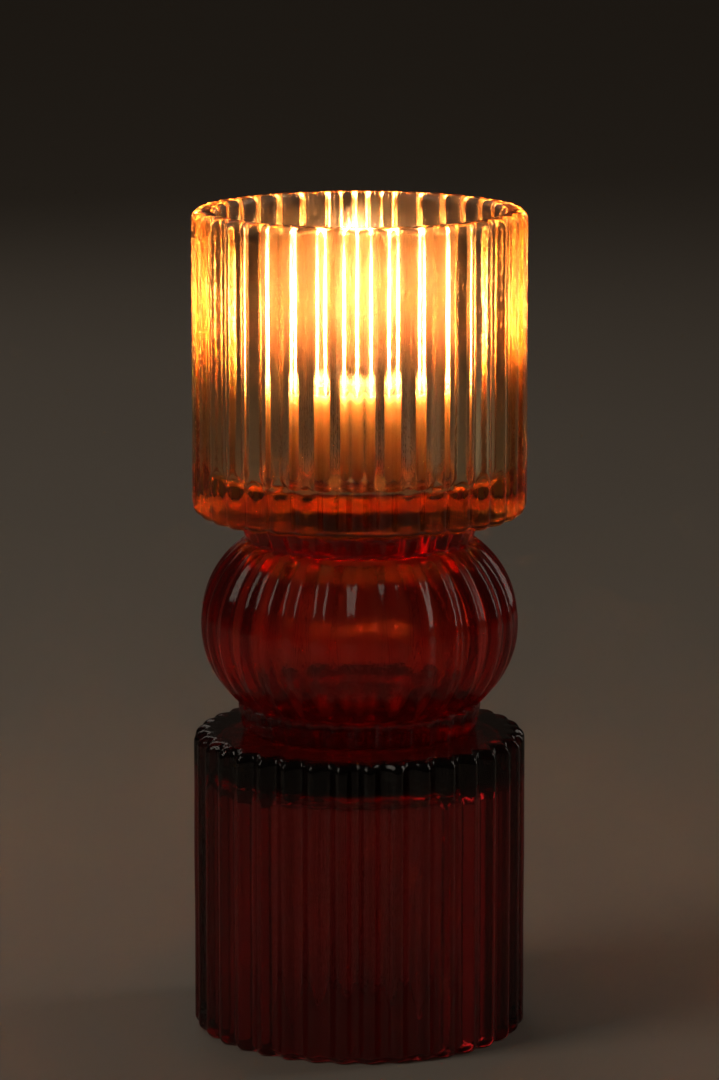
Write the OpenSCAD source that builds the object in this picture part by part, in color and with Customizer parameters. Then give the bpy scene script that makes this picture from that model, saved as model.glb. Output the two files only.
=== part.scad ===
// Stacked glass tealight holder with a clear-cup tealight standing in it.
// From the table up: a ribbed vessel mouth down, a fluted bulb with two collars, and a second
// ribbed vessel mouth up, all bonded into one column. Millimetres, +Z up, origin at the centre
// of the rim that the holder stands on. The front faces -Y.

/* [Ribbed vessels] */
// Diameter over the ribs of the upper and the lower vessel
vessel_d = 86; // [84:0.5:92]
// Height of each vessel
vessel_h = 78.4; // [66:0.2:86]
// Number of ribs round each vessel
vessel_ribs = 36; // [28:1:44]
// Depth of a vessel rib from crest to valley
vessel_rib_depth = 2.4; // [1:0.1:2.8]
// Inside diameter of each vessel
cavity_d = 74; // [68:0.5:75]
// Thickness of the solid glass disc that closes a vessel
disc_t = 9.4; // [7:0.2:12]
// Rounding inside, where the wall meets the disc
cavity_fillet = 5; // [2:0.5:8]
// Rounding outside, round the closed end
heel_round = 3; // [1.5:0.5:4]
// Rounding of the fire-polished rim, inside and outside
rim_round = 1.6; // [0.8:0.1:1.8]

/* [Fluted bulb] */
// Diameter of the bulb over its ribs
bulb_d = 82.6; // [76:0.2:90]
// Height of the bulb between its collars
bulb_body_h = 41.5; // [36:0.5:46]
// Radius of the arc that the bulb's side follows
bulb_arc_r = 26.4; // [25:0.2:30]
// Number of ribs round the bulb and its collars
bulb_ribs = 30; // [24:1:36]
// Depth of a bulb rib at the widest place
bulb_rib_depth = 1.4; // [0.8:0.1:1.8]
// Height of each collar
collar_h = 7.5; // [6:0.5:12]
// Wall thickness of the bulb
bulb_wall = 5; // [3.5:0.5:6]
// Diameter of the mouth through the upper collar
bulb_mouth_d = 40; // [30:1:44]

/* [Adhesive] */
// Thickness of each cured adhesive film
bond_t = 0.2; // [0.1:0.05:0.4]

/* [Tealight] */
// Diameter of the tealight
tealight_d = 38; // [36:0.2:40]
// Height of the tealight's cup
tealight_h = 25.6; // [20:0.2:28]
// Wall thickness of the tealight's cup
tealight_wall = 0.6; // [0.4:0.1:0.9]
// Drop from the cup's lip to the wax
wax_drop = 1.4; // [0.8:0.1:4]
// Diameter of the wick
wick_d = 1.8; // [1.2:0.1:2.4]
// Height of the straight wick above the wax
wick_stand = 4; // [3:0.5:6]

/* [Hidden] */
// Plan angle of the front, from which the ribs are counted
front = -90;
// Turn of each vessel's ribs from the front
cup_phase = -0.7;
base_phase = 3.5;
// Steps across one rib where a rib is faceted
rib_steps = 4;
// Bands between the two ends of the bulb's arc
arc_steps = 12;
// Clearance that keeps rounding cutters off the rib crests
crest_gap = 0.3;
// Running gap between wax, sustainer, wick and cup
fit_gap = 0.1;

vessel_r = vessel_d / 2;
cavity_r = cavity_d / 2;
vessel_valley_r = vessel_r - vessel_rib_depth;
// A rib is a circular arc over one pitch with the wanted depth
half_pitch = PI * vessel_r / vessel_ribs;
vessel_rib_r = (half_pitch^2 + vessel_rib_depth^2) / (2 * vessel_rib_depth);

bulb_r = bulb_d / 2;
bulb_h = bulb_body_h + 2 * collar_h;
bulb_mid = bulb_h / 2;
arc_centre_r = bulb_r - bulb_arc_r;
neck_r = arc_centre_r + sqrt(bulb_arc_r^2 - (bulb_body_h / 2)^2);
neck_angle = asin(bulb_body_h / 2 / bulb_arc_r);
collar_rib_depth = 1.5;
// The foot collar is a drum a little proud of the bulb, and the head collar flares up to the cup
foot_rim_r = neck_r - 0.5;
foot_top_r = neck_r + 0.5;
head_neck_r = neck_r - 2;
head_rim_r = neck_r - 0.1;
// Inner face of the bulb: the same arc, one wall thickness inside
hollow_arc_r = bulb_arc_r - bulb_wall;

base_top = vessel_h;
bulb_z = base_top + bond_t;
bulb_top = bulb_z + bulb_h;
cup_z = bulb_top + bond_t;
cup_floor = cup_z + disc_t;

tealight_r = tealight_d / 2;
tealight_foot_r = tealight_r - 0.5;
tealight_floor = 0.8;
tealight_foot_recess = 0.4;
wax_top = tealight_h - wax_drop;
sustainer_r = 9.5;
sustainer_t = 0.3;
sustainer_neck_r = 1.7;
sustainer_neck_h = 4.5;
wick_curl_r = 3;
wick_curl_angle = 55;

$fn = 96;

// ---- Ribbed vessels ----

// Plan of a vessel, its ribs turned by phase: a core with one arc for each rib
module vessel_plan(phase) {
    circle(r = vessel_valley_r);
    for (i = [0:vessel_ribs - 1])
        rotate(front + phase + i * 360 / vessel_ribs)
            translate([vessel_r - vessel_rib_r, 0])
                circle(r = vessel_rib_r, $fn = 64);
}

// Half section of the space that a vessel's outside lies in: round heel, round rim
module vessel_envelope() {
    r = vessel_r + crest_gap;
    hull_r = r - heel_round;
    square([hull_r, vessel_h]);
    translate([0, heel_round])
        square([r, vessel_h - heel_round - rim_round]);
    translate([hull_r, heel_round])
        circle(r = heel_round);
    translate([0, vessel_h - rim_round - 1])
        square([r - rim_round, rim_round + 1]);
    translate([r - rim_round, vessel_h - rim_round])
        circle(r = rim_round);
}

// Half section of a vessel's cavity, with a fillet at the floor and a flared, rounded mouth
module vessel_cavity() {
    top = vessel_h - rim_round;
    translate([0, disc_t])
        square([cavity_r - cavity_fillet, cavity_fillet]);
    intersection() {
        translate([cavity_r - cavity_fillet, disc_t + cavity_fillet])
            circle(r = cavity_fillet);
        square([cavity_r, disc_t + cavity_fillet]);
    }
    translate([0, disc_t + cavity_fillet])
        square([cavity_r, vessel_h]);
    difference() {
        translate([0, top])
            square([cavity_r + rim_round, vessel_h]);
        translate([cavity_r + rim_round, top])
            circle(r = rim_round);
    }
}

module vessel(phase) {
    difference() {
        intersection() {
            linear_extrude(vessel_h)
                vessel_plan(phase);
            rotate_extrude()
                vessel_envelope();
        }
        rotate_extrude()
            vessel_cavity();
    }
}

module cup_glass() {
    color([0.93, 0.62, 0.22, 0.55])
        translate([0, 0, cup_z])
            vessel(cup_phase);
}

// The lower vessel stands on its rim
module base_glass() {
    color([0.5, 0.07, 0.12, 0.75])
        translate([0, 0, base_top])
            mirror([0, 0, 1])
                vessel(base_phase);
}

// ---- Fluted bulb ----

// Height, outer radius and rib depth at each ring, from the foot up
function foot_rings() = [
    [0, foot_rim_r - 1.2, collar_rib_depth],
    [0.4, foot_rim_r - 0.3, collar_rib_depth],
    [1.2, foot_rim_r, collar_rib_depth],
    [collar_h - 1.2, foot_top_r, collar_rib_depth],
    [collar_h - 0.4, foot_top_r - 0.4, collar_rib_depth],
];
function body_rings() = [
    for (i = [0:arc_steps])
        let (a = neck_angle * (2 * i / arc_steps - 1))
        [bulb_mid + bulb_arc_r * sin(a),
         arc_centre_r + bulb_arc_r * cos(a),
         collar_rib_depth + (bulb_rib_depth - collar_rib_depth) * cos(a)]
];
function head_rings() = [
    [bulb_h - collar_h + 0.6, head_neck_r, collar_rib_depth],
    [bulb_h - 1.2, head_rim_r, collar_rib_depth],
    [bulb_h - 0.4, head_rim_r - 0.3, collar_rib_depth],
    [bulb_h, head_rim_r - 1.2, collar_rib_depth],
];

// A closed skin through the rings, with convex ribs that meet in sharp valleys
module ribbed_skin(rings, ribs) {
    around = ribs * rib_steps;
    points = [
        for (ring = rings, k = [0:around - 1])
            let (across = 2 * (k % rib_steps) / rib_steps - 1,
                 r = ring[1] - ring[2] * across^2,
                 a = front + (k / rib_steps - 0.5) * 360 / ribs)
            [r * cos(a), r * sin(a), ring[0]]
    ];
    last = (len(rings) - 1) * around;
    sides = [
        for (j = [0:len(rings) - 2], k = [0:around - 1])
            let (a = j * around + k,
                 b = j * around + (k + 1) % around)
            each [[a, a + around, b], [b, a + around, b + around]]
    ];
    ends = [
        [for (k = [0:around - 1]) k],
        [for (k = [around - 1:-1:0]) last + k],
    ];
    polyhedron(points = points, faces = concat(sides, ends), convexity = 6);
}

// The hollow: an arc one wall inside the skin, with a mouth through the head collar
module bulb_hollow() {
    rotate_extrude() {
        translate([0, bulb_mid - hollow_arc_r])
            square([arc_centre_r, 2 * hollow_arc_r]);
        intersection() {
            translate([arc_centre_r, bulb_mid])
                circle(r = hollow_arc_r);
            square([bulb_r, bulb_h]);
        }
        translate([0, bulb_mid])
            square([bulb_mouth_d / 2, bulb_h]);
    }
}

module bulb_glass() {
    color([0.6, 0.02, 0.02, 0.65])
        translate([0, 0, bulb_z])
            difference() {
                ribbed_skin(concat(foot_rings(), body_rings(), head_rings()), bulb_ribs);
                bulb_hollow();
            }
}

// ---- Adhesive films ----

// A flat ring of cured adhesive
module bond(z, outer_r, inner_r) {
    color([0.9, 0.88, 0.8, 0.4])
        translate([0, 0, z])
            difference() {
                cylinder(h = bond_t, r = outer_r);
                translate([0, 0, -1])
                    cylinder(h = bond_t + 2, r = inner_r);
            }
}

module head_bond() {
    bond(bulb_top, head_rim_r - 3.2, bulb_mouth_d / 2 + 0.5);
}

// The foot is solid, so its film starts close to the centre, where the air was let out
module foot_bond() {
    bond(base_top, foot_rim_r - 3.2, 4);
}

// ---- Tealight ----

// A slightly tapered thin cup with a recessed foot and a rolled lip
module tealight_cup() {
    lip_r = 0.5;
    inner_foot_r = tealight_foot_r - tealight_wall;
    inner_lip_r = tealight_r - tealight_wall;
    color([0.9, 0.93, 0.97, 0.3])
        translate([0, 0, cup_floor])
            difference() {
                rotate_extrude() {
                    polygon([[0, 0], [tealight_foot_r, 0], [tealight_r, tealight_h - lip_r],
                             [0, tealight_h - lip_r]]);
                    translate([0, tealight_h - 2 * lip_r])
                        square([tealight_r - lip_r, 2 * lip_r]);
                    translate([tealight_r - lip_r, tealight_h - lip_r])
                        circle(r = lip_r, $fn = 32);
                }
                rotate_extrude()
                    polygon([[0, tealight_floor], [inner_foot_r, tealight_floor],
                             [inner_lip_r, tealight_h + 1], [0, tealight_h + 1]]);
                translate([0, 0, -1])
                    cylinder(h = 1 + tealight_foot_recess, r = tealight_foot_r - 2);
            }
}

// Disc and crimped neck of the sustainer, grown by a gap where the wax is cast round it
module sustainer_shape(gap) {
    translate([0, 0, tealight_floor]) {
        cylinder(h = sustainer_t + gap, r = sustainer_r + gap);
        cylinder(h = sustainer_neck_h + gap, r = sustainer_neck_r + gap);
    }
}

module wick_sustainer() {
    color("silver")
        translate([0, 0, cup_floor])
            difference() {
                sustainer_shape(0);
                translate([0, 0, tealight_floor + sustainer_t])
                    cylinder(h = sustainer_neck_h, r = wick_d / 2 + fit_gap);
            }
}

module wax() {
    foot_r = tealight_foot_r - tealight_wall - fit_gap;
    top_r = tealight_r - tealight_wall - fit_gap;
    color([0.97, 0.93, 0.82])
        translate([0, 0, cup_floor])
            difference() {
                translate([0, 0, tealight_floor])
                    cylinder(h = wax_top - tealight_floor, r1 = foot_r, r2 = top_r - 0.1);
                sustainer_shape(fit_gap);
                cylinder(h = tealight_h, r = wick_d / 2 + fit_gap);
            }
}

// Braided wick: straight through the wax, then curling over where it has burnt
module wick() {
    straight_from = tealight_floor + sustainer_t;
    straight_to = wax_top + wick_stand;
    color([0.16, 0.12, 0.09])
        translate([0, 0, cup_floor]) {
            translate([0, 0, straight_from])
                cylinder(h = straight_to - straight_from, r = wick_d / 2);
            translate([wick_curl_r, 0, straight_to])
                rotate([90, 0, 180])
                    rotate_extrude(angle = wick_curl_angle)
                        translate([wick_curl_r, 0])
                            circle(r = wick_d / 2, $fn = 32);
        }
}

cup_glass();
head_bond();
bulb_glass();
foot_bond();
base_glass();
tealight_cup();
wax();
wick();
wick_sustainer();
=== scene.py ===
"""Stacked glass tealight holder: ribbed cup, fluted ruby bulb and rose base, with a lit tealight."""

import math

import bpy
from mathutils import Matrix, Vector, noise


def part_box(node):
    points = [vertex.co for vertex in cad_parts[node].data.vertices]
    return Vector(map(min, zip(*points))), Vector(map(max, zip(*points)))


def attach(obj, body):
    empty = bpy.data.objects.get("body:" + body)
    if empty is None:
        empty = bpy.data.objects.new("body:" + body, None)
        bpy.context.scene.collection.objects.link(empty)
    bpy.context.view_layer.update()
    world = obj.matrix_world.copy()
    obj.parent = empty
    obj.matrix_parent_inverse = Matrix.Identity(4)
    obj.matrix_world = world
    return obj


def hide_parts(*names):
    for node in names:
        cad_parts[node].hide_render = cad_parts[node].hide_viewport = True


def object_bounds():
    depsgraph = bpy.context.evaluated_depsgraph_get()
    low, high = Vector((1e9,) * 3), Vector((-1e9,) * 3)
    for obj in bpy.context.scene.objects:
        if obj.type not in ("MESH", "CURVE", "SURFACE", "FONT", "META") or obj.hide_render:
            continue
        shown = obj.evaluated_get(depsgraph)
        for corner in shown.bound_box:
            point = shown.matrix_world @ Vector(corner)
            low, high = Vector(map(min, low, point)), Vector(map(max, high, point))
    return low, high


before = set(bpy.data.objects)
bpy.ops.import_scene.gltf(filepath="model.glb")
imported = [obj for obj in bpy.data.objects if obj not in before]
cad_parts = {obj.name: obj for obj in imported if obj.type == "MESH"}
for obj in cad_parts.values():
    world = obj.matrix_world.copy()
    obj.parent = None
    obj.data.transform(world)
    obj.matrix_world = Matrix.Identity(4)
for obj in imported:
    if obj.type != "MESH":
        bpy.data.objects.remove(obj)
cad_low, cad_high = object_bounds()

MM = 0.001
FRONT = math.radians(-90)
# A section point nearer the axis than this is on it
ON_AXIS = 1e-7


# ---- Sizes, from the CAD boxes and a few driving dimensions ----

cup_low, cup_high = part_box("cup_glass")
base_low, base_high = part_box("base_glass")
bulb_low, bulb_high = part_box("bulb_glass")
head_bond_low, head_bond_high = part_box("head_bond")
foot_bond_low, foot_bond_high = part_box("foot_bond")
tealight_low, tealight_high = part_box("tealight_cup")
wax_low, wax_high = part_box("wax")
sustainer_low, sustainer_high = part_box("wick_sustainer")
wick_low, wick_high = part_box("wick")

VESSEL_R = (cup_high.x - cup_low.x) / 2
VESSEL_H = cup_high.z - cup_low.z
VESSEL_RIBS = 36
CUP_PHASE = math.radians(-0.7)
BASE_PHASE = math.radians(3.5)
VESSEL_RIB_DEPTH = 2.4 * MM
CAVITY_R = 37 * MM
CAVITY_FILLET = 5 * MM
DISC_T = 9.4 * MM
HEEL_R = 3 * MM
RIM_R = 1.6 * MM
RIM_OUTER_R = 2.4 * MM

BULB_RIBS = 30
BULB_R = (bulb_high.x - bulb_low.x) / 2
BULB_H = bulb_high.z - bulb_low.z
BULB_ARC_R = 26.4 * MM
BULB_WALL = 5 * MM
BULB_RIB_DEPTH = 1.4 * MM
COLLAR_H = 7.5 * MM
COLLAR_RIB_DEPTH = 1.5 * MM
MOUTH_R = 20 * MM
GLASS_IOR = 1.51

TEALIGHT_R = (tealight_high.x - tealight_low.x) / 2
TEALIGHT_H = tealight_high.z - tealight_low.z
TEALIGHT_FOOT_R = TEALIGHT_R - 0.5 * MM
TEALIGHT_WALL = 0.6 * MM
TEALIGHT_FLOOR = 0.8 * MM
WAX_GAP = 0.12 * MM
STRANDS = 3
STRAND_SIDES = 8
STRAND_R = 0.52 * MM
STRAND_OFFSET = 0.42 * MM
# Points of the wick's line in one full twist
TWIST_POINTS = 9
CHAR_H = 2.5 * MM
EMBER_H = 1.6 * MM
EMBER_STRENGTH = 6.0
FLAME_H = 32 * MM
FLAME_R = 4.6 * MM
# Where the flame is widest, as a share of its height
FLAME_WIDEST = 0.33
# The flame's lamps: their colour, and what their energies are multiplied by
FLAME_COLOUR = (1.0, 0.50, 0.23)
FLAME_POWER = 0.11
# The lamps in the bulb
BULB_GLOW_COLOUR = (1.0, 0.12, 0.03)

# Pieces that touch in glass are drawn this far apart, so that their faces never coincide
OPTICAL_GAP = 0.03 * MM

# Unevenness of pressed glass: how far it moves the skin, and how fast it changes round and up
GLASS_WOBBLE = 0.12 * MM
WOBBLE_TURNS = 2
WOBBLE_RISE = 55
# Steps across each rib
RIB_STEPS = 18


# ---- Mesh building ----


def arc(centre_r, centre_z, radius, start, end, steps):
    """Points (r, z) along an arc in the half section, from start to end in degrees."""
    return [
        (
            centre_r + radius * math.cos(math.radians(start + (end - start) * i / steps)),
            centre_z + radius * math.sin(math.radians(start + (end - start) * i / steps)),
        )
        for i in range(steps + 1)
    ]


def line(a, b, steps):
    """Points (r, z) on a straight stretch, both ends left out."""
    return [
        (a[0] + (b[0] - a[0]) * i / steps, a[1] + (b[1] - a[1]) * i / steps)
        for i in range(1, steps)
    ]


def wave_drop(across, depth):
    """How far a rib with a rounded crest and valley lies under its crest, at across from -1 to 1."""
    return depth * (1 - math.cos(math.pi * across)) / 2


def add_piece(name, verts, faces):
    """A smooth-shaded mesh object in the scene."""
    mesh = bpy.data.meshes.new(name)
    mesh.from_pydata(verts, [], faces)
    mesh.polygons.foreach_set("use_smooth", [True] * len(mesh.polygons))
    mesh.update()
    piece = bpy.data.objects.new(name, mesh)
    bpy.context.scene.collection.objects.link(piece)
    return piece


def ring_faces(rings, around):
    """Faces between neighbouring rings, with triangles where a ring is a single point."""
    faces = []
    for low, high in zip(rings, rings[1:], strict=False):
        for k in range(around):
            n = (k + 1) % around
            corners = []
            for v in (low[k], low[n], high[n], high[k]):
                if v not in corners:
                    corners.append(v)
            if len(corners) > 2:
                faces.append(corners)
    return faces


def lathe(name, section, around=96, ribs=0, phase=0.0, depths=None, wobble=0.0):
    """A skin turned from a half section of (r, z) points.

    With ribs, depths gives the rib depth at each point. The wobble is the small unevenness of
    pressed glass: how far noise moves the skin in or out.
    """
    verts, rings = [], []
    depths = depths or [0.0] * len(section)
    for (r, z), depth in zip(section, depths, strict=True):
        if r < ON_AXIS:
            rings.append([len(verts)] * around)
            verts.append((0, 0, z))
            continue
        rings.append(list(range(len(verts), len(verts) + around)))
        for k in range(around):
            turn = k / around
            a = FRONT + phase + 2 * math.pi * turn
            out = r
            if ribs and depth > 0:
                across = 2 * ((turn * ribs + 0.5) % 1) - 1
                out -= wave_drop(across, depth)
            if wobble:
                x, y = math.cos(a) * WOBBLE_TURNS, math.sin(a) * WOBBLE_TURNS
                out += wobble * noise.noise(Vector((x, y, z * WOBBLE_RISE)))
            verts.append((out * math.cos(a), out * math.sin(a), z))
    return add_piece(name, verts, ring_faces(rings, around))


def place(piece, body, material, replaced=()):
    """Gives a piece its finish and its body, and hides the CAD nodes that it stands for."""
    piece.data.materials.append(material)
    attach(piece, body)
    if replaced:
        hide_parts(*replaced)
    return piece


# ---- Materials ----


def new_material(name):
    """A node material, its tree and its Principled shader."""
    material = bpy.data.materials.new(name)
    material.use_nodes = True
    tree = material.node_tree
    return material, tree, tree.nodes["Principled BSDF"]


def node(tree, kind, **settings):
    """A new node with the given settings."""
    made = tree.nodes.new(kind)
    for key, value in settings.items():
        setattr(made, key, value)
    return made


def object_height(tree):
    """The height in the object's own coordinates, as a value socket."""
    coords = node(tree, "ShaderNodeTexCoord")
    split = node(tree, "ShaderNodeSeparateXYZ")
    tree.links.new(coords.outputs["Object"], split.inputs["Vector"])
    return split.outputs["Z"]


def object_noise(tree, scale, detail=3.0, stretch=(1, 1, 1)):
    """Noise in the object's own coordinates, stretched along its axes. Returns the value socket."""
    coords = node(tree, "ShaderNodeTexCoord")
    mapping = node(tree, "ShaderNodeMapping")
    mapping.inputs["Scale"].default_value = stretch
    texture = node(tree, "ShaderNodeTexNoise")
    texture.inputs["Scale"].default_value = scale
    texture.inputs["Detail"].default_value = detail
    tree.links.new(coords.outputs["Object"], mapping.inputs["Vector"])
    tree.links.new(mapping.outputs["Vector"], texture.inputs["Vector"])
    return texture.outputs["Fac"]


def spread(tree, value, low, high, start=0.3, end=0.7):
    """Maps a value between start and end to the range from low to high."""
    mapped = node(tree, "ShaderNodeMapRange")
    mapped.inputs["From Min"].default_value = start
    mapped.inputs["From Max"].default_value = end
    mapped.inputs["To Min"].default_value = low
    mapped.inputs["To Max"].default_value = high
    tree.links.new(value, mapped.inputs["Value"])
    return mapped.outputs["Result"]


def bump(tree, height, strength, distance, under=None):
    """A bumped normal, on top of the normal under it if there is one."""
    made = node(tree, "ShaderNodeBump")
    made.inputs["Strength"].default_value = strength
    made.inputs["Distance"].default_value = distance
    tree.links.new(height, made.inputs["Height"])
    if under is not None:
        tree.links.new(under, made.inputs["Normal"])
    return made.outputs["Normal"]


def absorption(tree, through, path):
    """Volume that passes the colour through after a path of that length."""
    losses = [-math.log(max(c, 1e-4)) / path for c in through]
    density = max(losses)
    tint = node(tree, "ShaderNodeVolumeAbsorption")
    tint.inputs["Density"].default_value = density
    tint.inputs["Color"].default_value = (*[1 - loss / density for loss in losses], 1)
    tree.links.new(tint.outputs["Volume"], tree.nodes["Material Output"].inputs["Volume"])


def pressed_glass(name, through, path, haze=0.003, skin=(0.05, 0.28), smooth=None):
    """Pressed glass that passes the colour through after a path of that length.

    Its skin is fire-polished but wavy, with fine grains that scatter light: skin is the range of
    their roughness. Haze is the share of light that a thin film of candle soot and dust catches.
    With smooth, the skin is clear up to the first of two heights and full at the second.
    """
    material, tree, shader = new_material(name)
    shader.inputs["Base Color"].default_value = (1, 0.97, 0.93, 1)
    shader.inputs["Transmission Weight"].default_value = 1 - haze
    shader.inputs["IOR"].default_value = GLASS_IOR
    grain = object_noise(tree, 1500, 3, (1, 1, 0.6))
    roughness = spread(tree, grain, *skin, 0.45, 0.80)
    if smooth:
        rise = spread(tree, object_height(tree), 0.0, 1.0, *smooth)
        product = node(tree, "ShaderNodeMath", operation="MULTIPLY")
        tree.links.new(roughness, product.inputs[0])
        tree.links.new(rise, product.inputs[1])
        roughness = product.outputs["Value"]
    tree.links.new(roughness, shader.inputs["Roughness"])
    waves = object_noise(tree, 130, 2, (1, 1, 0.25))
    ripples = object_noise(tree, 260, 3, (0.35, 0.35, 1))
    normal = bump(tree, grain, 0.4, 0.06 * MM)
    normal = bump(tree, ripples, 0.25, 0.1 * MM, normal)
    normal = bump(tree, waves, 0.5, 0.3 * MM, normal)
    tree.links.new(normal, shader.inputs["Normal"])
    absorption(tree, through, path)
    return material


def clear_plastic():
    """Thin moulded plastic with light scuffs."""
    material, tree, shader = new_material("clear_plastic")
    shader.inputs["Base Color"].default_value = (0.98, 0.99, 1, 1)
    shader.inputs["Transmission Weight"].default_value = 1.0
    shader.inputs["IOR"].default_value = 1.49
    scuffs = object_noise(tree, 300, 5)
    tree.links.new(spread(tree, scuffs, 0.02, 0.12), shader.inputs["Roughness"])
    return material


def height_ramp(tree, low, high, stops):
    """Colour along the object's height between low and high, from (place 0 to 1, colour) stops."""
    height = spread(tree, object_height(tree), 0.0, 1.0, low, high)
    ramp = node(tree, "ShaderNodeValToRGB")
    elements = ramp.color_ramp.elements
    elements[0].position, elements[0].color = stops[0][0], (*stops[0][1], 1)
    elements[1].position, elements[1].color = stops[-1][0], (*stops[-1][1], 1)
    for at, colour in stops[1:-1]:
        elements.new(at).color = (*colour, 1)
    tree.links.new(height, ramp.inputs["Fac"])
    return ramp.outputs["Color"]


def candle_wax():
    """Wax with painted light and shade: its colour is painted pale at the top and deep amber at its
    foot, with a painted glow at the top, for the flame's light through it.
    """
    material, tree, shader = new_material("candle_wax")
    shader.inputs["Subsurface Weight"].default_value = 0.6
    shader.inputs["Subsurface Radius"].default_value = (0.006, 0.002, 0.0005)
    shader.inputs["Subsurface Scale"].default_value = 1.0
    shader.inputs["Roughness"].default_value = 0.45
    mottle = object_noise(tree, 220, 4)
    # Painted light and shade: the base colour is paler towards the top and darker amber towards the
    # foot, as the flame lights the wax; the mottle on it is random tone.
    painted_light_and_shade = height_ramp(
        tree,
        wax_low.z,
        wax_high.z,
        [
            (0.0, (0.30, 0.13, 0.04)),
            (0.45, (0.50, 0.26, 0.10)),
            (0.80, (0.74, 0.48, 0.24)),
            (1.0, (0.88, 0.70, 0.46)),
        ],
    )
    colour = node(tree, "ShaderNodeMix", data_type="RGBA", blend_type="MULTIPLY")
    colour.inputs["Factor"].default_value = 1.0
    tree.links.new(painted_light_and_shade, colour.inputs["A"])
    tree.links.new(spread(tree, mottle, 0.86, 1.0), colour.inputs["B"])
    tree.links.new(colour.outputs["Result"], shader.inputs["Base Color"])
    # Painted glow: emission brightest at the top of the wax and fading to nothing at its foot,
    # standing for the flame's light through the wax.
    glow = height_ramp(
        tree,
        wax_low.z,
        wax_high.z,
        [
            (0.0, (0.0, 0.0, 0.0)),
            (0.30, (0.012, 0.002, 0.0)),
            (0.60, (0.06, 0.014, 0.001)),
            (0.80, (0.22, 0.065, 0.007)),
            (0.94, (0.50, 0.19, 0.03)),
            (1.0, (1.0, 0.62, 0.24)),
        ],
    )
    tree.links.new(glow, shader.inputs["Emission Color"])
    shader.inputs["Emission Strength"].default_value = 3.5
    tree.links.new(bump(tree, mottle, 0.2, 0.2 * MM), shader.inputs["Normal"])
    return material


def molten_wax():
    """Clear liquid wax with a faint ripple."""
    material, tree, shader = new_material("molten_wax")
    shader.inputs["Base Color"].default_value = (1, 0.95, 0.85, 1)
    shader.inputs["Transmission Weight"].default_value = 1.0
    shader.inputs["IOR"].default_value = 1.43
    shader.inputs["Roughness"].default_value = 0.02
    ripples = object_noise(tree, 90, 1)
    tree.links.new(bump(tree, ripples, 0.15, 0.3 * MM), shader.inputs["Normal"])
    return material


def wick_cotton():
    """Cotton braid, charred above the wax, with an ember at the very tip."""
    material, tree, shader = new_material("wick_cotton")
    height = object_height(tree)
    char = spread(tree, height, 0.0, 1.0, wax_high.z, wax_high.z + CHAR_H)
    colour = node(tree, "ShaderNodeMix", data_type="RGBA")
    colour.inputs["A"].default_value = (0.75, 0.66, 0.5, 1)
    colour.inputs["B"].default_value = (0.012, 0.009, 0.007, 1)
    tree.links.new(char, colour.inputs["Factor"])
    tree.links.new(colour.outputs["Result"], shader.inputs["Base Color"])
    ember = spread(tree, height, 0.0, EMBER_STRENGTH, wick_high.z - EMBER_H, wick_high.z)
    tree.links.new(ember, shader.inputs["Emission Strength"])
    shader.inputs["Emission Color"].default_value = (1, 0.16, 0.02, 1)
    shader.inputs["Roughness"].default_value = 0.95
    fibres = object_noise(tree, 2500, 3)
    tree.links.new(bump(tree, fibres, 0.8, 0.2 * MM), shader.inputs["Normal"])
    return material


def sustainer_tin():
    """Tin-plated steel with drawn grain."""
    material, tree, shader = new_material("sustainer_tin")
    shader.inputs["Base Color"].default_value = (0.62, 0.61, 0.59, 1)
    shader.inputs["Metallic"].default_value = 1.0
    grain = object_noise(tree, 700, 3, (1, 12, 1))
    tree.links.new(spread(tree, grain, 0.25, 0.45), shader.inputs["Roughness"])
    tree.links.new(bump(tree, grain, 0.2, 0.1 * MM), shader.inputs["Normal"])
    return material


def cured_adhesive():
    """Clear cured adhesive, slightly hazy."""
    material, tree, shader = new_material("cured_adhesive")
    shader.inputs["Base Color"].default_value = (1, 0.98, 0.94, 1)
    shader.inputs["Transmission Weight"].default_value = 1.0
    shader.inputs["IOR"].default_value = 1.48
    haze = object_noise(tree, 400, 3)
    tree.links.new(spread(tree, haze, 0.03, 0.15), shader.inputs["Roughness"])
    return material


def flame_light(low, high):
    """Candle flame: faint blue at the root, white-gold, orange at the tip, with a soft edge."""
    material, tree, shader = new_material("flame_light")
    tree.nodes.remove(shader)
    colour = height_ramp(
        tree,
        low,
        high,
        [
            (0.0, (0.04, 0.04, 0.14)),
            (0.10, (0.16, 0.08, 0.06)),
            (0.25, (1.0, 0.52, 0.20)),
            (0.55, (1.0, 0.59, 0.30)),
            (0.82, (1.0, 0.50, 0.18)),
            (1.0, (0.60, 0.18, 0.04)),
        ],
    )
    glow = node(tree, "ShaderNodeEmission")
    glow.inputs["Strength"].default_value = 480.0
    tree.links.new(colour, glow.inputs["Color"])
    clear = node(tree, "ShaderNodeBsdfTransparent")
    facing = node(tree, "ShaderNodeLayerWeight")
    facing.inputs["Blend"].default_value = 0.35
    mix = node(tree, "ShaderNodeMixShader")
    tree.links.new(facing.outputs["Facing"], mix.inputs["Fac"])
    tree.links.new(glow.outputs["Emission"], mix.inputs[1])
    tree.links.new(clear.outputs["BSDF"], mix.inputs[2])
    tree.links.new(mix.outputs["Shader"], tree.nodes["Material Output"].inputs["Surface"])
    return material


# ---- Glass pieces ----


class Section:
    """Points of a half section, with a rib depth for each."""

    def __init__(self):
        self.points, self.depths = [], []

    def add(self, part, depth_from, depth_to=None):
        """Adds points whose rib depth runs evenly from the first value to the second."""
        depth_to = depth_from if depth_to is None else depth_to
        for i, point in enumerate(part):
            self.points.append(point)
            self.depths.append(depth_from + (depth_to - depth_from) * i / max(1, len(part) - 1))


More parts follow.
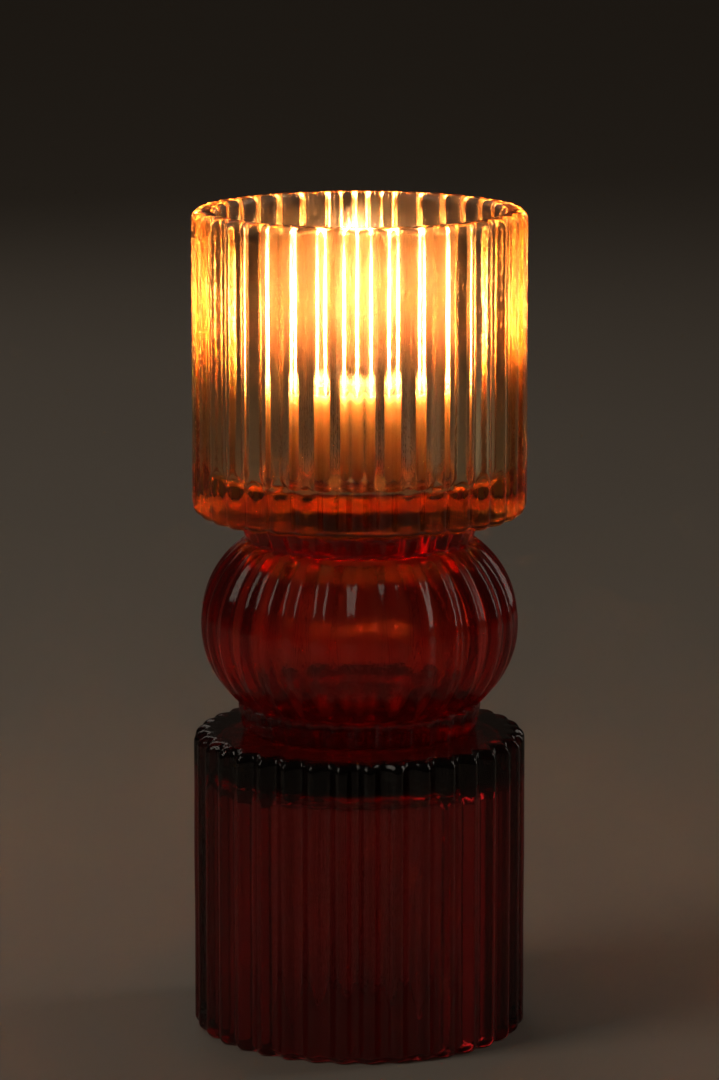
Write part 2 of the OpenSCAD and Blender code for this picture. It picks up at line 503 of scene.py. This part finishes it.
def vessel_section():
    """A vessel from its closed end (z = 0) up the outside to its mouth and down the cavity."""
    full = VESSEL_RIB_DEPTH
    heel_r = VESSEL_R - HEEL_R
    shoulder_z = VESSEL_H - RIM_OUTER_R
    rim_out = VESSEL_R - RIM_OUTER_R
    rim_in = CAVITY_R + RIM_R
    rim_z = VESSEL_H - RIM_R
    fillet_r = CAVITY_R - CAVITY_FILLET
    fillet_z = DISC_T + CAVITY_FILLET
    section = Section()
    section.add([(heel_r * share, 0) for share in (0, 0.3, 0.6, 0.8, 0.92)], 0)
    section.add(arc(heel_r, HEEL_R, HEEL_R, -90, 0, 9), full * 0.7, full)
    section.add(line((VESSEL_R, HEEL_R), (VESSEL_R, shoulder_z), 26), full)
    section.add(arc(rim_out, shoulder_z, RIM_OUTER_R, 0, 90, 9), full, full * 0.5)
    section.add([((rim_out + rim_in) / 2, VESSEL_H)], 0)
    section.add(arc(rim_in, rim_z, RIM_R, 90, 180, 7), 0)
    section.add(line((CAVITY_R, rim_z), (CAVITY_R, fillet_z), 22), 0)
    section.add(arc(fillet_r, fillet_z, CAVITY_FILLET, 0, -90, 8), 0)
    section.add([(fillet_r * share, DISC_T) for share in (0.7, 0.35, 0)], 0)
    return section


def vessel(name, closed_end, rising, phase):
    """A ribbed vessel: rising is 1 with its mouth up and -1 with its mouth down."""
    section = vessel_section()
    points = [(r, closed_end + rising * z) for r, z in section.points]
    around = VESSEL_RIBS * RIB_STEPS
    piece = lathe(name, points, around, VESSEL_RIBS, phase, section.depths, GLASS_WOBBLE)
    if rising < 0:
        piece.data.flip_normals()
    return piece


def bulb_section():
    """The bulb from its foot up the outside, over the head collar and down the hollow."""
    mid = BULB_H / 2
    centre_r = BULB_R - BULB_ARC_R
    half = mid - COLLAR_H
    neck_r = centre_r + math.sqrt(BULB_ARC_R**2 - half**2)
    neck = math.degrees(math.asin(half / BULB_ARC_R))
    foot_r = neck_r - 0.5 * MM
    foot_top_r = neck_r + 0.5 * MM
    head_neck_r = neck_r - 2 * MM
    head_r = neck_r - 0.1 * MM
    head_z = BULB_H - COLLAR_H
    edge = 1.8 * MM
    soft = 0.7 * MM
    ribbed = COLLAR_RIB_DEPTH
    section = Section()
    section.add([(0, 0.4 * MM), (foot_r * 0.5, 0.35 * MM), (foot_r * 0.85, 0.1 * MM)], 0)
    section.add(arc(foot_r - edge, edge, edge, -90, 0, 6), ribbed)
    section.add(line((foot_r, edge), (foot_top_r, COLLAR_H - soft), 6), ribbed)
    section.add(arc(foot_top_r - soft, COLLAR_H - soft, soft, 0, 80, 4), ribbed)
    for r, z in arc(centre_r, mid, BULB_ARC_R, -neck, neck, 40):
        bulge = (r - neck_r) / (BULB_R - neck_r)
        section.add([(r, z)], ribbed + (BULB_RIB_DEPTH - ribbed) * bulge)
    section.add([(head_neck_r + soft, head_z + 0.1 * MM), (head_neck_r, head_z + soft)], ribbed)
    section.add(line((head_neck_r, head_z + soft), (head_r, BULB_H - edge), 6), ribbed)
    section.add(arc(head_r - edge, BULB_H - edge, edge, 0, 90, 6), ribbed)
    section.add([(MOUTH_R + soft, BULB_H), (MOUTH_R, BULB_H - soft)], 0)
    inner = BULB_ARC_R - BULB_WALL
    mouth_angle = math.degrees(math.acos((MOUTH_R - centre_r) / inner))
    section.add(line((MOUTH_R, BULB_H - soft), (MOUTH_R, mid + inner), 4), 0)
    section.add(arc(centre_r, mid, inner, mouth_angle, -90, 36), 0)
    section.add([(centre_r * 0.5, mid - inner), (0, mid - inner)], 0)
    return section


def bulb():
    """The ruby bulb with its two collars."""
    section = bulb_section()
    points = [(r, bulb_low.z + z) for r, z in section.points]
    around = BULB_RIBS * RIB_STEPS
    return lathe("bulb", points, around, BULB_RIBS, 0.0, section.depths, GLASS_WOBBLE)


def glass_pieces():
    """The cup, the base and the bulb between them, each in its own glass."""
    clear_below = cup_low.z + 14 * MM
    rough_above = cup_low.z + 44 * MM
    honey = pressed_glass(
        "honey_glass", (0.88, 0.69, 0.45), 12 * MM, smooth=(clear_below, rough_above)
    )
    ruby = pressed_glass("ruby_glass", (0.80, 0.03, 0.012), 10 * MM, haze=0.006)
    rose = pressed_glass("rose_glass", (0.44, 0.018, 0.022), 12 * MM, haze=0.005)
    cup = vessel("cup", cup_low.z + OPTICAL_GAP, 1, CUP_PHASE)
    place(cup, "holder", honey, ["cup_glass"])
    base = vessel("base", base_high.z - OPTICAL_GAP, -1, BASE_PHASE)
    place(base, "holder", rose, ["base_glass"])
    place(bulb(), "holder", ruby, ["bulb_glass"])


def adhesive_film(name, low, high, inner_r, sink_top, sink_bottom):
    """A thin ring of cured adhesive with a slightly bulged edge.

    It wets the vessel's flat face: that side sinks a hair into the glass, so light passes through.
    """
    outer_r = (high.x - low.x) / 2
    bottom, top = low.z - sink_bottom, high.z + sink_top
    mid, half = (bottom + top) / 2, (top - bottom) / 2
    outer = arc(outer_r - half, mid, half, -90, 90, 6)
    section = [(inner_r, bottom), *outer, (inner_r, top), (inner_r, bottom)]
    return lathe(name, section, 180)


def adhesive_films():
    """The ring under the cup and the ring on the base."""
    clear = cured_adhesive()
    into_glass, off_bulb = 2 * OPTICAL_GAP, -OPTICAL_GAP
    head_inner_r = MOUTH_R + 0.5 * MM
    foot_inner_r = 4 * MM
    head = adhesive_film(
        "head_film", head_bond_low, head_bond_high, head_inner_r, into_glass, off_bulb
    )
    place(head, "holder", clear, ["head_bond"])
    foot = adhesive_film(
        "foot_film", foot_bond_low, foot_bond_high, foot_inner_r, off_bulb, into_glass
    )
    place(foot, "holder", clear, ["foot_bond"])


# ---- Tealight ----


def shell_section():
    """The clear cup from the middle of its recessed foot, up the outside and down the inside."""
    lip_r = 0.5 * MM
    recess = 0.4 * MM
    heel = 0.6 * MM
    rest = 0.02 * MM
    top = TEALIGHT_H - lip_r
    inner_foot_r = TEALIGHT_FOOT_R - TEALIGHT_WALL
    section = [
        (0, recess),
        (TEALIGHT_FOOT_R - 2.4 * MM, recess),
        (TEALIGHT_FOOT_R - 2 * MM, rest),
        *arc(TEALIGHT_FOOT_R - heel, heel + rest, heel, -90, 0, 5),
        *line((TEALIGHT_FOOT_R, heel + rest), (TEALIGHT_R - 0.05 * MM, top), 5),
        *arc(TEALIGHT_R - lip_r, top, lip_r, -20, 200, 9),
        *line((TEALIGHT_R - TEALIGHT_WALL, top), (inner_foot_r, TEALIGHT_FLOOR + heel), 5),
        *arc(inner_foot_r - heel, TEALIGHT_FLOOR + heel, heel, 0, -90, 5),
        (sustainer_high.x + 0.3 * MM, TEALIGHT_FLOOR),
        (0, TEALIGHT_FLOOR),
    ]
    return [(r, z + rest) for r, z in section]


def wax_section(inner_top_r, solid_top):
    """The solid wax, dished where it has melted."""
    gap = WAX_GAP
    bottom = TEALIGHT_FLOOR + gap
    inner_foot_r = TEALIGHT_FOOT_R - TEALIGHT_WALL - gap
    heel = 0.8 * MM
    dish = solid_top - 0.9 * MM
    return [
        (0, bottom),
        (inner_foot_r - heel, bottom),
        *arc(inner_foot_r - heel, bottom + heel, heel, -80, 0, 4),
        *line((inner_foot_r, TEALIGHT_FLOOR + 1 * MM), (inner_top_r, solid_top), 6),
        (inner_top_r - 0.05 * MM, solid_top),
        (inner_top_r - 1 * MM, solid_top - 0.25 * MM),
        (inner_top_r * 0.6, solid_top - 0.6 * MM),
        (4 * MM, dish),
        (0, dish),
    ]


def melt_section(inner_top_r, solid_top, wax_top):
    """The liquid wax on top, which climbs a little at the cup's wall and at the wick."""
    above_dish = solid_top - 0.85 * MM
    return [
        (0, above_dish),
        (4 * MM, above_dish),
        (inner_top_r * 0.6, solid_top - 0.55 * MM),
        (inner_top_r - 0.2 * MM, solid_top + 0.05 * MM),
        (inner_top_r, solid_top + 0.4 * MM),
        (inner_top_r, wax_top + 0.5 * MM),
        (inner_top_r - 0.5 * MM, wax_top + 0.12 * MM),
        (inner_top_r - 1.4 * MM, wax_top),
        (5 * MM, wax_top),
        (2.2 * MM, wax_top + 0.05 * MM),
        (1.1 * MM, wax_top + 0.5 * MM),
        (0, wax_top + 0.5 * MM),
    ]


def on_floor(section):
    """A section raised from the tealight's own foot to the cup's floor."""
    return [(r, tealight_low.z + z) for r, z in section]


def tealight():
    """The clear cup with its wax, and what stands in it."""
    shell = lathe("tealight_shell", on_floor(shell_section()), 144)
    place(shell, "tealight", clear_plastic(), ["tealight_cup"])

    pool_depth = 0.7 * MM
    wax_top = wax_high.z - tealight_low.z
    inner_top_r = TEALIGHT_R - TEALIGHT_WALL - WAX_GAP
    solid_top = wax_top - pool_depth
    wax = lathe("wax_body", on_floor(wax_section(inner_top_r, solid_top)), 120)
    place(wax, "tealight", candle_wax(), ["wax"])
    melt = lathe("melt_pool", on_floor(melt_section(inner_top_r, solid_top, wax_top)), 120)
    place(melt, "tealight", molten_wax())

    braided_wick(wax_high.z)
    sustainer()
    flame_low = wax_high.z + 3.2 * MM
    flame(flame_low)
    flame_lamps(flame_low)


def wick_line(pool_z):
    """Points along the wick: straight up out of the wax, then curling over to +X."""
    turn_r = 3 * MM
    curl = math.radians(55)
    straight_top = pool_z + 4 * MM
    rise = straight_top - wick_low.z
    points = [Vector((0, 0, wick_low.z + rise * i / 40)) for i in range(41)]
    for i in range(1, 11):
        a = curl * i / 10
        points.append(Vector((turn_r * (1 - math.cos(a)), 0, straight_top + turn_r * math.sin(a))))
    return points


def strand(line_points, turn):
    """Vertices of one strand, twisted round the wick's line and thinner along the burnt end."""
    burnt_from, burnt_points = 44, 6
    verts = []
    for i, p in enumerate(line_points):
        after = line_points[min(i + 1, len(line_points) - 1)]
        before = line_points[max(i - 1, 0)]
        along = (after - before).normalized()
        side = Vector((0, 1, 0))
        up = along.cross(side)
        a = 2 * math.pi * (turn + i / TWIST_POINTS)
        taper = 1 - 0.35 * max(0.0, (i - burnt_from) / burnt_points)
        centre = p + (side * math.cos(a) + up * math.sin(a)) * STRAND_OFFSET * taper
        for s in range(STRAND_SIDES):
            b = 2 * math.pi * s / STRAND_SIDES
            verts.append(centre + (side * math.cos(b) + up * math.sin(b)) * STRAND_R * taper)
    return verts


def braided_wick(pool_z):
    """Three strands twisted along the wick's line."""
    line_points = wick_line(pool_z)
    sides = STRAND_SIDES
    verts, faces = [], []
    for number in range(STRANDS):
        start = len(verts)
        verts += strand(line_points, number / STRANDS)
        for i in range(len(line_points) - 1):
            low, high = start + i * sides, start + (i + 1) * sides
            for s in range(sides):
                n = (s + 1) % sides
                faces.append((low + s, low + n, high + n, high + s))
        last = start + (len(line_points) - 1) * sides
        faces.append(tuple(start + s for s in reversed(range(sides))))
        faces.append(tuple(last + s for s in range(sides)))
    wick = add_piece("braided_wick", [tuple(v) for v in verts], faces)
    place(wick, "tealight", wick_cotton(), ["wick"])


def sustainer():
    """Pressed disc with a crimped neck round the wick."""
    neck_top = sustainer_high.z - sustainer_low.z
    disc_r = (sustainer_high.x - sustainer_low.x) / 2
    bore = 0.95 * MM
    section = [
        (bore, 0.02 * MM),
        (disc_r - 0.4 * MM, 0.02 * MM),
        (disc_r, 0.15 * MM),
        (disc_r - 0.3 * MM, 0.3 * MM),
        (3.2 * MM, 0.3 * MM),
        (2.1 * MM, 0.7 * MM),
        (1.6 * MM, 1.4 * MM),
        (1.35 * MM, 2.6 * MM),
        (1.6 * MM, neck_top - 0.4 * MM),
        (1.65 * MM, neck_top),
        (1.2 * MM, neck_top),
        (1.05 * MM, 2.6 * MM),
        (bore, 0.02 * MM),
    ]
    tin = lathe("sustainer_tin", [(r, sustainer_low.z + z) for r, z in section], 72)
    place(tin, "tealight", sustainer_tin(), ["wick_sustainer"])


def flame_width(t):
    """Width of the flame at t from 0 at its root to 1 at its tip, as a share of the widest."""
    if t < FLAME_WIDEST:
        return math.sin(math.pi / 2 * (t / FLAME_WIDEST)) ** 0.75
    past = (t - FLAME_WIDEST) / (1 - FLAME_WIDEST)
    return math.cos(math.pi / 2 * past**0.92) ** 0.9


def flame(low):
    """The flame round the wick's tip, leaning a little with the wick's curl."""
    steps = 28
    lean = 0.9 * MM
    outline = []
    for i in range(steps + 1):
        t = i / steps
        width = FLAME_R * flame_width(t) if 0 < i < steps else 0.0
        outline.append((max(0.0, width), low + FLAME_H * t))
    piece = lathe("flame", outline, 40)
    for v in piece.data.vertices:
        t = (v.co.z - low) / FLAME_H
        v.co.x += lean * math.sin(t * 2.6)
    place(piece, "tealight", flame_light(low, low + FLAME_H))
    piece.visible_shadow = False
    piece.visible_diffuse = False


def axis_lamp(name, z, energy, colour, radius, blockers):
    """A soft point lamp on the axis, which only the blockers shade."""
    light = bpy.data.lights.new(name, "POINT")
    light.energy = energy
    light.color = colour
    light.shadow_soft_size = radius
    lamp = bpy.data.objects.new(name, light)
    bpy.context.scene.collection.objects.link(lamp)
    lamp.location = (0, 0, z)
    lamp.light_linking.blocker_collection = blockers
    return lamp


def collection_of(name, pieces):
    """A collection of pieces for light linking."""
    made = bpy.data.collections.new(name)
    for piece in pieces:
        made.objects.link(bpy.data.objects[piece])
    return made


def flame_lamps(low):
    """Warm lamps up the flame, which shine through the glass without caustics."""
    blockers = collection_of("flame_blockers", ("wax_body", "braided_wick"))
    up_energy_radius = ((0.05, 1.3, 3), (0.18, 1.1, 4), (0.40, 0.5, 4))
    for i, (up, energy, radius) in enumerate(up_energy_radius):
        z = low + FLAME_H * up
        power = energy * FLAME_POWER
        lamp = axis_lamp(f"flame_lamp_{i}", z, power, FLAME_COLOUR, radius * MM, blockers)
        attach(lamp, "tealight")


def bulb_lamps():
    """Stand for the candlelight that the cup's thick floor passes down into the bulb."""
    lit = collection_of("lit_by_bulb_lamps", ("bulb", "base"))
    blockers = collection_of("bulb_lamp_blockers", ("wax_body",))
    name_up_energy_radius = (
        ("foot", 4 * MM, 0.022, 5 * MM),
        ("middle", 22 * MM, 0.024, 10 * MM),
        ("head", BULB_H - 3 * MM, 0.02, 5 * MM),
    )
    for name, up, energy, radius in name_up_energy_radius:
        z = bulb_low.z + up
        lamp = axis_lamp(f"bulb_lamp_{name}", z, energy, BULB_GLOW_COLOUR, radius, blockers)
        lamp.visible_camera = False
        lamp.visible_glossy = False
        lamp.visible_transmission = False
        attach(lamp, "holder")
        lamp.light_linking.receiver_collection = lit


# ---- Stage, lights and camera ----


def floor():
    """A plain pale floor."""
    material, tree, shader = new_material("pale_floor")
    shader.inputs["Base Color"].default_value = (0.66, 0.60, 0.53, 1)
    mottle = object_noise(tree, 6, 5)
    tree.links.new(spread(tree, mottle, 0.50, 0.58), shader.inputs["Roughness"])
    shader.inputs["Specular IOR Level"].default_value = 0.5
    rings = [(8.0, 0.0), (2.0, 0.0), (0.5, 0.0), (0, 0.0)]
    disc = lathe("floor", rings, 64)
    disc.data.flip_normals()
    disc.data.materials.append(material)


def softbox(name, place_at, target, size, energy, colour):
    """A soft rectangular light aimed at the target."""
    light = bpy.data.lights.new(name, "AREA")
    light.shape = "RECTANGLE"
    light.size, light.size_y = size
    light.energy = energy
    light.color = colour
    made = bpy.data.objects.new(name, light)
    bpy.context.scene.collection.objects.link(made)
    made.location = place_at
    made.rotation_mode = "QUATERNION"
    made.rotation_quaternion = (Vector(target) - Vector(place_at)).to_track_quat("-Z", "Y")


def studio():
    """Three dim, warm softboxes and a faint surround, so that the flame leads."""
    world = bpy.data.worlds.new("studio")
    world.use_nodes = True
    bpy.context.scene.world = world
    backdrop = world.node_tree.nodes["Background"]
    backdrop.inputs["Color"].default_value = (1.0, 0.82, 0.64, 1)
    backdrop.inputs["Strength"].default_value = 0.015
    middle = (0, 0, cad_high.z * 0.5)
    softbox("key_softbox", (-0.9, -0.5, 0.9), middle, (0.5, 0.8), 1.4, (1, 0.88, 0.74))
    softbox("side_softbox", (1.1, 0.35, 0.55), middle, (0.3, 0.9), 0.9, (1, 0.90, 0.78))
    softbox("back_softbox", (-0.5, 1.3, 0.8), middle, (0.9, 0.5), 0.45, (1, 0.88, 0.76))


def camera():
    """A long lens about 1.3 m away that looks down about 10.5 degrees."""
    distance, height, looks_down = 1.2995, 0.3695, 10.53
    sensor, lens = 36, 171
    made = bpy.data.cameras.new("camera")
    made.sensor_fit = "VERTICAL"
    made.sensor_height = sensor
    made.sensor_width = sensor
    made.lens = lens
    cam = bpy.data.objects.new("camera", made)
    bpy.context.scene.collection.objects.link(cam)
    cam.location = (0, -distance, height)
    cam.rotation_euler = (math.radians(90 - looks_down), 0, 0)
    bpy.context.scene.camera = cam


def light_paths():
    """Plain colours, and enough bounces for light to get through stacked, ribbed glass."""
    bpy.context.scene.view_settings.view_transform = "Standard"
    cycles = bpy.context.scene.cycles
    cycles.max_bounces = 32
    cycles.transmission_bounces = 28
    cycles.glossy_bounces = 16
    cycles.transparent_max_bounces = 16
    cycles.sample_clamp_indirect = 40.0


camera()
glass_pieces()
adhesive_films()
tealight()
bulb_lamps()
floor()
studio()
light_paths()
